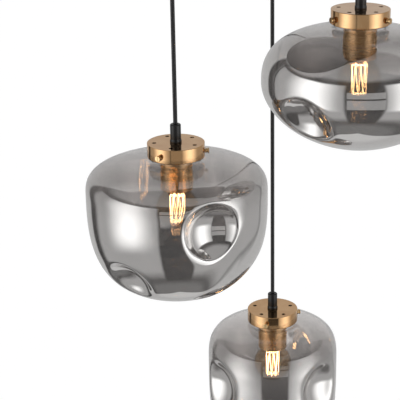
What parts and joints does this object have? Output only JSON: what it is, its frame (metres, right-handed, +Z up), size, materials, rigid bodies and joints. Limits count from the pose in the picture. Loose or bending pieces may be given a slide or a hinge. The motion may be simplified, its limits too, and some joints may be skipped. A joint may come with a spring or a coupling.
{
  "type": "cluster pendant",
  "caption": "Ceiling pendant with a round canopy and lamps of dented smoked glass in brass caps, hung on cords at staggered heights.",
  "frame": {"origin": "centre of the canopy at the ceiling plane, midway between the two ceiling slots", "axes": "+Z up, out of the face that meets the ceiling; -Y towards the viewer; the ceiling slots lie along X"},
  "size_m": [0.5104, 0.4586, 1.007],
  "materials": {
    "canopy_black": "satin",
    "bracket_zinc": "zinc plated",
    "screw_steel": "bright",
    "terminal_nylon": "moulded",
    "terminal_brass": "bright",
    "wire_black": "satin",
    "cord_black": "satin",
    "grip_black": "moulded",
    "cap_brass": "polished",
    "thumbscrew_brass": "polished",
    "sleeve_brass": "polished",
    "stem_zinc": "zinc plated",
    "holder_black": "moulded",
    "contact_brass": "bright",
    "core_copper": "bare",
    "bulb_glass": "clear",
    "bulb_cap_nickel": "plated",
    "filament_wire": "glowing",
    "smoked_glass": "half-mirrored",
    "band_silicone": "translucent"
  },
  "bodies": {
    "canopy_body": {"canopy": "canopy_black", "ceiling_bracket": "bracket_zinc", "canopy_screws": "screw_steel", "bracket_screws": "screw_steel", "terminal_block": "terminal_nylon", "terminal_clamps": "terminal_brass", "inner_wiring": "wire_black", "canopy_grips": "grip_black", "canopy_grip_nuts": "stem_zinc"},
    "bowl_hanging_cord": {"bowl_cord": "cord_black"},
    "bowl_lamp_head": {"bowl_cord_grip": "grip_black", "bowl_grip_screw": "screw_steel", "bowl_cap": "cap_brass", "bowl_nipple_and_nuts": "stem_zinc", "bowl_sleeve": "sleeve_brass", "bowl_lampholder": "holder_black", "bowl_socket_contacts": "contact_brass", "bowl_conductors": "core_copper"},
    "bowl_shade_with_band": {"bowl_shade": "smoked_glass", "bowl_neck_band": "band_silicone"},
    "bowl_lamp_bulb": {"bowl_bulb_glass": "bulb_glass", "bowl_bulb_cap": "bulb_cap_nickel", "bowl_filament": "filament_wire"},
    "bowl_screw_1": {"bowl_thumbscrew_1": "thumbscrew_brass"},
    "bowl_screw_2": {"bowl_thumbscrew_2": "thumbscrew_brass"},
    "bowl_screw_3": {"bowl_thumbscrew_3": "thumbscrew_brass"},
    "oval_hanging_cord": {"oval_cord": "cord_black"},
    "oval_lamp_head": {"oval_cord_grip": "grip_black", "oval_grip_screw": "screw_steel", "oval_cap": "cap_brass", "oval_nipple_and_nuts": "stem_zinc", "oval_sleeve": "sleeve_brass", "oval_lampholder": "holder_black", "oval_socket_contacts": "contact_brass", "oval_conductors": "core_copper"},
    "oval_shade_with_band": {"oval_shade": "smoked_glass", "oval_neck_band": "band_silicone"},
    "oval_lamp_bulb": {"oval_bulb_glass": "bulb_glass", "oval_bulb_cap": "bulb_cap_nickel", "oval_filament": "filament_wire"},
    "oval_screw_1": {"oval_thumbscrew_1": "thumbscrew_brass"},
    "oval_screw_2": {"oval_thumbscrew_2": "thumbscrew_brass"},
    "oval_screw_3": {"oval_thumbscrew_3": "thumbscrew_brass"},
    "jar_hanging_cord": {"jar_cord": "cord_black"},
    "jar_lamp_head": {"jar_cord_grip": "grip_black", "jar_grip_screw": "screw_steel", "jar_cap": "cap_brass", "jar_nipple_and_nuts": "stem_zinc", "jar_sleeve": "sleeve_brass", "jar_lampholder": "holder_black", "jar_socket_contacts": "contact_brass", "jar_conductors": "core_copper"},
    "jar_shade_with_band": {"jar_shade": "smoked_glass", "jar_neck_band": "band_silicone"},
    "jar_lamp_bulb": {"jar_bulb_glass": "bulb_glass", "jar_bulb_cap": "bulb_cap_nickel", "jar_filament": "filament_wire"},
    "jar_screw_1": {"jar_thumbscrew_1": "thumbscrew_brass"},
    "jar_screw_2": {"jar_thumbscrew_2": "thumbscrew_brass"},
    "jar_screw_3": {"jar_thumbscrew_3": "thumbscrew_brass"}
  },
  "joints": [
    {"name": "bowl_swing", "type": "hinge", "parent": "canopy_body", "child": "bowl_hanging_cord", "pos_m": [-0.12803, -0.06807, -0.054], "axis": [0, 1, 0], "range_deg": [-8, 8]},
    {"name": "bowl_twist", "type": "hinge", "parent": "bowl_hanging_cord", "child": "bowl_lamp_head", "pos_m": [-0.12803, -0.06807, -0.384], "axis": [0, 0, 1], "range_deg": [-180, 180]},
    {"name": "bowl_shade_lower", "type": "slide", "parent": "bowl_lamp_head", "child": "bowl_shade_with_band", "axis": [0, 0, -1], "range_m": [0, 0.1]},
    {"name": "bowl_bulb_unscrew", "type": "slide", "parent": "bowl_lamp_head", "child": "bowl_lamp_bulb", "axis": [0, 0, -1], "range_m": [0, 0.045]},
    {"name": "bowl_screw_1_out", "type": "slide", "parent": "bowl_lamp_head", "child": "bowl_screw_1", "axis": [1, 0, 0], "range_m": [0, 0.006]},
    {"name": "bowl_screw_2_out", "type": "slide", "parent": "bowl_lamp_head", "child": "bowl_screw_2", "axis": [-0.5, 0.866, 0], "range_m": [0, 0.006]},
    {"name": "bowl_screw_3_out", "type": "slide", "parent": "bowl_lamp_head", "child": "bowl_screw_3", "axis": [-0.5, -0.866, 0], "range_m": [0, 0.006]},
    {"name": "oval_swing", "type": "hinge", "parent": "canopy_body", "child": "oval_hanging_cord", "pos_m": [0.12297, -0.07684, -0.054], "axis": [0, 1, 0], "range_deg": [-8, 8]},
    {"name": "oval_twist", "type": "hinge", "parent": "oval_hanging_cord", "child": "oval_lamp_head", "pos_m": [0.12297, -0.07684, -0.195], "axis": [0, 0, 1], "range_deg": [-180, 180]},
    {"name": "oval_shade_lower", "type": "slide", "parent": "oval_lamp_head", "child": "oval_shade_with_band", "axis": [0, 0, -1], "range_m": [0, 0.1]},
    {"name": "oval_bulb_unscrew", "type": "slide", "parent": "oval_lamp_head", "child": "oval_lamp_bulb", "axis": [0, 0, -1], "range_m": [0, 0.045]},
    {"name": "oval_screw_1_out", "type": "slide", "parent": "oval_lamp_head", "child": "oval_screw_1", "axis": [0.0523, 0.9986, 0], "range_m": [0, 0.006]},
    {"name": "oval_screw_2_out", "type": "slide", "parent": "oval_lamp_head", "child": "oval_screw_2", "axis": [-0.891, -0.454, 0], "range_m": [0, 0.006]},
    {"name": "oval_screw_3_out", "type": "slide", "parent": "oval_lamp_head", "child": "oval_screw_3", "axis": [0.8387, -0.5446, 0], "range_m": [0, 0.006]},
    {"name": "jar_swing", "type": "hinge", "parent": "canopy_body", "child": "jar_hanging_cord", "pos_m": [0.00506, 0.14491, -0.054], "axis": [0, 1, 0], "range_deg": [-8, 8]},
    {"name": "jar_twist", "type": "hinge", "parent": "jar_hanging_cord", "child": "jar_lamp_head", "pos_m": [0.00506, 0.14491, -0.731], "axis": [0, 0, 1], "range_deg": [-180, 180]},
    {"name": "jar_shade_lower", "type": "slide", "parent": "jar_lamp_head", "child": "jar_shade_with_band", "axis": [0, 0, -1], "range_m": [0, 0.1]},
    {"name": "jar_bulb_unscrew", "type": "slide", "parent": "jar_lamp_head", "child": "jar_lamp_bulb", "axis": [0, 0, -1], "range_m": [0, 0.045]},
    {"name": "jar_screw_1_out", "type": "slide", "parent": "jar_lamp_head", "child": "jar_screw_1", "axis": [0.9613, 0.2756, 0], "range_m": [0, 0.006]},
    {"name": "jar_screw_2_out", "type": "slide", "parent": "jar_lamp_head", "child": "jar_screw_2", "axis": [-0.7193, 0.6947, 0], "range_m": [0, 0.006]},
    {"name": "jar_screw_3_out", "type": "slide", "parent": "jar_lamp_head", "child": "jar_screw_3", "axis": [-0.2419, -0.9703, 0], "range_m": [0, 0.006]}
  ]
}
